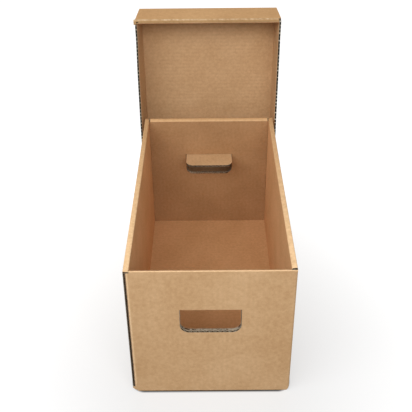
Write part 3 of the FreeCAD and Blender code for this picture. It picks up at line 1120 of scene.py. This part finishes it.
bottom = [make(side) for make in (make_end_bottom_flap, make_side_bottom_flap) for side in (-1, 1)]
bottom.append(make_base_pad())
print("bottom:", [piece.name for piece in bottom])

# %% [markdown]
# ## The hand flaps
# Each hole's flap is still there, pushed in and creased at the top. It is the same board with the same
# round corners, so the corners are shaved with the same short cuts, this time keeping the inside.

# %% Hand flaps


def make_hand_flap(side):
    """A hand flap as it lies folded in."""
    name = end_of(side) + "hand_flap"
    body = end_of(side) + "flap"
    low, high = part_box(name)
    across = high.x - low.x
    along = high.y - low.y
    radius = hole_radius - knife_gap
    bm = build_board(across, along)
    for hand in (-1, 1):
        centre = Vector((across / 2 + hand * (across / 2 - radius), along - radius, 0))
        for way in corner_directions():
            out = Vector((hand * way.x, -way.y, 0))
            trim(bm, centre + out * radius, out)
    origin = (high.x if side < 0 else low.x, low.y if side < 0 else high.y, high.z)
    bm.transform(place(origin, side * X, -side * Y))
    return finish_piece(bm, name + "_board", body, name, tray_papers)


hand_flaps = [make_hand_flap(side) for side in (-1, 1)]
print("hand flaps:", [piece.name for piece in hand_flaps])

# %% [markdown]
# ## The lid
# The lid's flutes run across it. Its long sides are single flaps whose free edges are raw, and a whole
# row of flute ends shows along them. They lean outwards a little, because nothing holds them at the
# mouth. The short sides are rolled over, and the side flaps' tabs are caught inside the roll.

# %% Lid measures from the frame
panel_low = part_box("lid_panel")[0]
lining_low, lining_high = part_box("lid_top_end_lining")
cap_low, cap_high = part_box("lid_top_end_wall")
roll_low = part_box("lid_top_end_rim")[0]
lid_height = cap_high.z
lid_fold_y = panel_low.y
lid_mouth = roll_low.y
leaf_low, leaf_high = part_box("lid_right_flap")
lid_fold_x = leaf_low.x
flare = math.atan2(leaf_high.x - board - lid_fold_x, lid_fold_y - lid_mouth)
print(f"lid {lid_height / mm:.0f} mm tall, flaps lean {math.degrees(flare):.1f} degrees")

# %% [markdown]
# ## Fuzz on a raw edge
# A blunt knife leaves pale fuzz where a crest of the fluting touches the outer liner. It is a strip of grid
# across the flute ends, bent to follow the wave and thinned by noise, with the stretches between the crests
# taken out.

# %% Fuzz
burr = 1.8 * mm
burr_reach = 0.5
burr_height = 0.45
burr_scale = 260
burr_seed = 1.62
ragged_by = 1.8
least_ragged = 0.2


def add_burr(bm, near, far, edge_at):
    """Add the fuzz that a knife leaves on the fluting, where its crests touch the outer liner."""
    columns = round((far - near) / flute_pitch * wave_columns)
    made = bmesh.ops.create_grid(bm, x_segments=columns, y_segments=1, size=0.5)
    valleys = []
    for vert in made["verts"]:
        x = near + (far - near) * (vert.co.x + 0.5)
        swing = math.cos(2 * math.pi * x / flute_pitch)
        ragged = 1 + ragged_by * noise.noise(Vector((x * burr_scale, 0, burr_seed)))
        level = board / 2 + burr_height * flute_swing * swing
        level += burr * max(least_ragged, ragged) * vert.co.y
        vert.co = (x, edge_at, min(max(level, paper), board - paper))
        for face in vert.link_faces:
            face.material_index = 3
        if swing <= burr_reach:
            valleys += vert.link_faces
    bmesh.ops.delete(bm, geom=list(dict.fromkeys(valleys)), context="FACES")


print(f"the fuzz is about {burr / mm:.1f} mm high")

# %% [markdown]
# ## The lid's back and its long flaps
# The knife has pressed a pale strip along each raw edge, and between the papers the cut flutes are nearly
# black, painted shade where one looks into the dark. The left flap has bowed outwards, most in the middle
# of its height, as a loose edge does.

# %% Lid panel and side flaps
pressed = 4.5 * mm
panel_sag = 0.4 * mm
flap_sag = 0.5 * mm
free_length = 40 * mm
bow_play = 0.2 * mm
bow = cap_low.x - roll_low.x - bow_play


def make_lid_panel():
    """The large panel of the lid."""
    across = lid_height - 2 * board
    along = 2 * lid_fold_x
    bm = build_board(across, along, folds=("left", "right", "low", "high"))
    settle(bm, across, along, panel_sag, seed=50)
    bm.transform(place((-lid_fold_x, lid_fold_y, board), Z, X))
    return finish_piece(bm, "lid_back", "lid", "lid_panel", lid_papers)


def make_lid_side_flap(side):
    """A long side of the lid, with a bite at each end for the rolled rim."""
    name = "lid_" + hand_of(side) + "flap"
    lean = flare * side
    outward = Vector((side * math.cos(flare), math.sin(flare), 0))
    down = Vector((math.sin(lean), -math.cos(flare), 0))
    across = lid_height - 2 * board
    along = (lid_fold_y - lid_mouth) / math.cos(flare)
    bm = build_board(across, along, folds={"low": half_fold - math.degrees(flare)})
    bite = wall + knife_gap - board
    depth = along - board - knife_gap
    notch(bm, (-board, depth), (bite, along + board))
    if side < 0:
        notch(bm, (across - bite, depth), (across + board, along + board))
    # The fluting's points are marked, so that the flap's cut edge paints the cut flute ends nearly black:
    # painted shade.
    wear_and_light_level = bm.verts.layers.float["crease"]
    score(bm, (0, along - pressed, 0), Y, (1,))
    for face in bm.faces:
        if face.material_index == 1 and face.calc_center_median().y > along - pressed:
            face.material_index = 4
        elif face.material_index == 2:
            for vert in face.verts:
                vert[wear_and_light_level] = 1.0
    add_burr(bm, bite, across - (bite if side < 0 else 0), along - paper / 2)
    settle(bm, across, along + free_length, flap_sag, seed=60 + side)
    origin = (side * lid_fold_x, lid_fold_y, board if side > 0 else lid_height - board)
    bm.transform(place(origin, down.cross(outward), down))
    if side < 0:
        for vert in bm.verts:
            free = (lid_fold_y - vert.co.y) / (lid_fold_y - lid_mouth)
            vert.co.x -= bow * max(0.0, free) * math.sin(math.pi * vert.co.z / lid_height)
    return finish_piece(bm, name + "_board", "lid", name, flap_papers, bow)


lid_sides = [make_lid_panel(), make_lid_side_flap(-1), make_lid_side_flap(1)]
print("lid sides:", [piece.name for piece in lid_sides])

# %% [markdown]
# ## The short ends of the lid
# Both ends are made alike, as the top end, and the one at the foot is then mirrored about the lid's middle.
# An outer wall gets wider towards the mouth, because the long flaps beside it lean outwards. The lining's
# paper goes on round the mouth into the roll, further than half a fold, so that no gap shows there.

# %% Lid end walls and linings
lining_fold = 75


def stand_up(bm, end, origin, across, along):
    """Stand a board up at the top end of the lid, and mirror it to the foot if it belongs there."""
    bm.transform(place(origin, across, along))
    if end == "foot":
        bm.transform(Matrix.Translation((0, 0, lid_height)) @ Matrix.Diagonal((1, 1, -1, 1)))


def make_lid_end_wall(end):
    """The outer layer of a short side of the lid, wider towards the mouth."""
    name = "lid_" + end + "_end_wall"
    narrow = lid_fold_x + board / math.cos(flare)
    wide = cap_high.x
    across = lid_fold_y - cap_low.y
    fold_span = (wide - lid_fold_x, wide + lid_fold_x)
    bm = build_board(across, 2 * wide, folds=("left",), spans={"left": fold_span})
    for hand in (-1, 1):
        out = Vector((-(wide - narrow) / across, hand, 0)).normalized()
        trim(bm, (across, wide + hand * wide, 0), out)
    stand_up(bm, end, (-wide, lid_fold_y, lid_height - board), -Y, X)
    return finish_piece(bm, name + "_board", "lid", name, lid_papers)


def make_lid_end_lining(end):
    """The inner layer of a short side of the lid."""
    name = "lid_" + end + "_end_lining"
    across = lining_high.y - lining_low.y
    wide = lining_high.x
    narrow = wide - across * math.tan(flare)
    bm = build_board(across, 2 * wide, folds={"left": lining_fold})
    for hand in (-1, 1):
        out = Vector(((wide - narrow) / across, hand, 0)).normalized()
        trim(bm, (0, wide + hand * wide, 0), out)
    stand_up(bm, end, (-wide, lining_low.y, lining_high.z), Y, X)
    return finish_piece(bm, name + "_board", "lid", name, inner_papers, board)


print(f"lid end walls {2 * cap_high.x / mm:.0f} mm wide, linings {2 * lining_high.x / mm:.0f} mm")

# %% [markdown]
# ## The rolled edges of the lid
# The flutes run along these rolls, so the board creases unevenly. Slow noise waves the roll, fine noise
# crumples it, and a third noise breaks the wear along its upper edge into dashes. The upper roll's left end
# has come loose: it sticks out past the flap, bulges, and shows the dark hollow in a small split. Its right
# end is cut a little short.

# %% Lid rolls, and both ends of the lid
roll_row = 3 * mm
roll_seed = 70
roll_press = 0.84
slow_scale = (28, 60)
slow_depth = 0.1
fine_scale = (140, 200)
fine_depth = 0.06
near_slack = 0.6 * mm
more_slack = 1.3 * mm
slack_wave = 0.5 * mm
dash_scale = 210
dash_middle = 0.7
dash_contrast = 2.2
least_dash = 0.15
wear_reach = 3.2
loose_length = 9 * mm
loose_lift = 1.4 * mm
split_low = (3.1 * mm, 4.2 * mm)
split_high = (5.6 * mm, 7.2 * mm)
short_end = 3.1 * mm
roll_room = 1.5 * mm


def scuff(bm, length, loose):
    """Press a roll unevenly, scuff it pale along its upper edge, and open its loose end."""
    wear_and_light_level = bm.verts.layers.float["crease"]
    for vert in bm.verts:
        x, y = vert.co.x, vert.co.y
        across = x / wall
        slow = noise.noise(Vector((y * slow_scale[0], x * slow_scale[1], roll_seed)))
        fine = noise.noise(Vector((y * fine_scale[0], x * fine_scale[1], roll_seed + 9)))
        dash = noise.noise(Vector((y * dash_scale, 0, roll_seed + 4)))
        bulge = smooth_step(1 - y / loose_length) if loose else 0.0
        uneven = (slow_depth * slow + fine_depth * fine) * (1 - bulge)
        vert.co.z *= roll_press + (1 - roll_press) * bulge + uneven
        slack = near_slack + more_slack * y / length + slack_wave * slow
        slack = slack * (1 - bulge) - loose_lift * bulge
        vert.co.x -= slack * max(0.0, across)
        dash = least_dash + (1 - least_dash) * smooth_step(dash_middle + dash_contrast * dash)
        vert[wear_and_light_level] = max(0.0, 1 - wear_reach * across) * dash


def make_lid_end_rim(end):
    """The rolled edge of a short side of the lid. The upper one's left end has come loose."""
    name = "lid_" + end + "_end_rim"
    top = end == "top"
    low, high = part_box(name)
    length = high.x - low.x
    bm = build_board(wall, length, rolls=("left", "right"), row=roll_row)
    scuff(bm, length, loose=top)
    if top:
        notch(bm, split_low, split_high, kinds=(0, 2))
        trim(bm, (0, length - short_end, 0), Y)
    stand_up(bm, end, (low.x, high.y, lid_height), -Z, X)
    return finish_piece(bm, name + "_roll", "lid", name, roll_papers, roll_room)


lid_makers = (make_lid_end_wall, make_lid_end_rim, make_lid_end_lining)
lid_ends = [make(end) for end in ("top", "foot") for make in lid_makers]
print("lid ends:", [piece.name for piece in lid_ends])

# %% [markdown]
# ## What stays as it is
# The glue flap and the lid's corner tabs are crushed flat and hidden between two layers. Their frame
# nodes already have the right shape, so they only get the crushed board's finish.

# %% Finish the hidden nodes
hidden = ["glue_flap"] + ["lid_" + end + "_" + hand + "_tab" for end in ("top", "foot")
                          for hand in ("left", "right")]
for name in hidden:
    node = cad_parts[name]
    node.data.materials.clear()
    node.data.materials.append(crushed)
print("kept nodes:", ", ".join(hidden))

# %% [markdown]
# ## The floor
# The box stands on a white sweep. For the light that reaches the box it is only grey paint, so that little
# is thrown back up. Seen by the camera it also glows, more so away from the box, and reads as white with
# the box's shadow on it. Right beside the tray's foot a painted contact shadow makes the paint that the
# camera sees and the glow fade out over a few millimetres, where no light gets in. The corners of that
# dark line are rounded, so that it doesn't show past the tray's cut-off lower left corner.

# %% Floor
floor_reach = 6
floor_drop = 0.1 * mm
grey_paint = (0.36, 0.36, 0.36, 1)
shown_paint = 0.3
glow_middle = (0, -0.2, 0)
glow_from = 0.1
glow_to = 0.5
near_glow = 0.57
far_glow = 0.95
contact_round = 16 * mm
contact_reach = 3.5 * mm


def seen_by_camera(tree):
    """Return 1 for rays from the camera, also by way of a mirror or glass, and 0 for other light."""
    path = add_node(tree, "ShaderNodeLightPath")
    seen = arithmetic(tree, "MAXIMUM", path.outputs["Is Camera Ray"], path.outputs["Is Glossy Ray"])
    return arithmetic(tree, "MAXIMUM", seen, path.outputs["Is Transmission Ray"])


def make_floor():
    """A wide plain floor that isn't part of the box."""
    bm = bmesh.new()
    bmesh.ops.create_grid(bm, x_segments=1, y_segments=1, size=floor_reach)
    bmesh.ops.translate(bm, verts=bm.verts, vec=(0, 0, -floor_drop))
    mesh = bpy.data.meshes.new("floor")
    bm.to_mesh(mesh)
    bm.free()
    floor = bpy.data.objects.new("floor", mesh)
    bpy.context.scene.collection.objects.link(floor)
    material = bpy.data.materials.new("white_sweep")
    material.use_nodes = True
    tree = material.node_tree
    tree.nodes.clear()
    point = add_node(tree, "ShaderNodeTexCoord").outputs["Object"]
    far = add_node(tree, "ShaderNodeVectorMath", {0: point, 1: glow_middle}, operation="DISTANCE")
    spread = add_node(tree, "ShaderNodeMapRange",
                      {"Value": far.outputs["Value"], "From Min": glow_from, "From Max": glow_to,
                       "To Min": near_glow, "To Max": far_glow})
    paint = add_node(tree, "ShaderNodeBsdfDiffuse", {"Color": grey_paint})
    # A painted contact shadow: beside the tray's foot the shown paint and the glow fade to dark.
    folded = add_node(tree, "ShaderNodeVectorMath", {0: point}, operation="ABSOLUTE").outputs[0]
    foot = (half_width - contact_round, half_length - contact_round, 1)
    beyond = add_node(tree, "ShaderNodeVectorMath", {0: folded, 1: foot}, operation="SUBTRACT").outputs[0]
    beyond = add_node(tree, "ShaderNodeVectorMath", {0: beyond, 1: (0, 0, 0)}, operation="MAXIMUM")
    near = add_node(tree, "ShaderNodeVectorMath", {0: beyond.outputs[0]}, operation="LENGTH")
    near = plus(tree, near.outputs["Value"], -contact_round)
    touch = add_node(tree, "ShaderNodeMapRange", {"Value": near, "From Min": 0.0, "From Max": contact_reach})
    touch = touch.outputs[0]
    shown = add_node(tree, "ShaderNodeBsdfDiffuse", {"Color": times(tree, touch, shown_paint)})
    strength = times(tree, spread.outputs[0], touch)
    glow = add_node(tree, "ShaderNodeEmission", {"Color": (1, 1, 1, 1), "Strength": strength})
    both = add_node(tree, "ShaderNodeAddShader", {0: shown.outputs[0], 1: glow.outputs[0]})
    pick = add_node(tree, "ShaderNodeMixShader",
                    {0: seen_by_camera(tree), 1: paint.outputs[0], 2: both.outputs[0]})
    end = add_node(tree, "ShaderNodeOutputMaterial")
    tree.links.new(pick.outputs[0], end.inputs["Surface"])
    mesh.materials.append(material)
    return floor


floor = make_floor()
print("floor:", floor.name, "with", len(floor.data.materials[0].node_tree.nodes), "shader nodes")

# %% [markdown]
# ## Lamp and world
# One wide soft lamp hangs above and in front of the box, a little to the left, so a soft shadow falls to
# the right and behind, and the bottom of the tray is dim. The world fills the shadows from all sides, and
# is plain white where the camera sees it.

# %% World and lamp
fill = 0.4
lamp_at = (-0.3, -0.92, 1.2)
lamp_aim = (0, -0.05, 0.1)
lamp_width = 2.6
lamp_height = 0.7
lamp_watts = 24


def make_world(strength):
    """A white world: a soft fill on the box, and plain white where the camera sees it."""
    world = bpy.data.worlds.new("studio")
    bpy.context.scene.world = world
    world.use_nodes = True
    tree = world.node_tree
    tree.nodes.clear()
    level = add_node(tree, "ShaderNodeMapRange",
                     {"Value": seen_by_camera(tree), "To Min": strength, "To Max": 1.0})
    glow = add_node(tree, "ShaderNodeBackground",
                    {"Color": (1, 1, 1, 1), "Strength": level.outputs[0]})
    end = add_node(tree, "ShaderNodeOutputWorld")
    tree.links.new(glow.outputs[0], end.inputs["Surface"])


def make_lamp(name, place_at, aim, width, height, power):
    """A wide soft lamp that faces a point."""
    data = bpy.data.lights.new(name, "AREA")
    data.shape = "RECTANGLE"
    data.size = width
    data.size_y = height
    data.energy = power
    lamp = bpy.data.objects.new(name, data)
    lamp.location = place_at
    lamp.rotation_euler = (Vector(aim) - Vector(place_at)).to_track_quat("-Z", "Y").to_euler()
    bpy.context.scene.collection.objects.link(lamp)
    return lamp


make_world(fill)
key = make_lamp("key", lamp_at, lamp_aim, lamp_width, lamp_height, lamp_watts)
print("light: world fill and", key.name, key.data.energy, "W")

# %% [markdown]
# ## The camera
# The photograph was taken with a fairly long lens from above the front of the box, looking down about
# thirty-one degrees. The numbers come from a pinhole camera fitted to the photographed edges. The
# picture was cropped off centre, which a small lens shift repeats.

# %% Camera
picture = 412
focal_pixels = 683.8
axis_row = 145.0
camera_at = (-1.1 * mm, -819.3 * mm, 777.6 * mm)
camera_data = bpy.data.cameras.new("camera")
camera_data.sensor_width = 36
camera_data.lens = focal_pixels / picture * camera_data.sensor_width
camera_data.shift_y = (axis_row - picture / 2) / picture
camera = bpy.data.objects.new("camera", camera_data)
pitch = math.radians(31.21)
yaw = math.radians(0.23)
roll = math.radians(-0.58)
turn = Matrix.Rotation(yaw, 4, "Z") @ Matrix.Rotation(math.pi / 2 - pitch, 4, "X")
turn = turn @ Matrix.Rotation(roll, 4, "Z")
camera.matrix_world = Matrix.Translation(camera_at) @ turn
bpy.context.scene.collection.objects.link(camera)
bpy.context.scene.camera = camera
bpy.context.scene.view_settings.view_transform = "Standard"
print(f"camera: {camera_data.lens:.1f} mm lens, shift {camera_data.shift_y:.3f}")
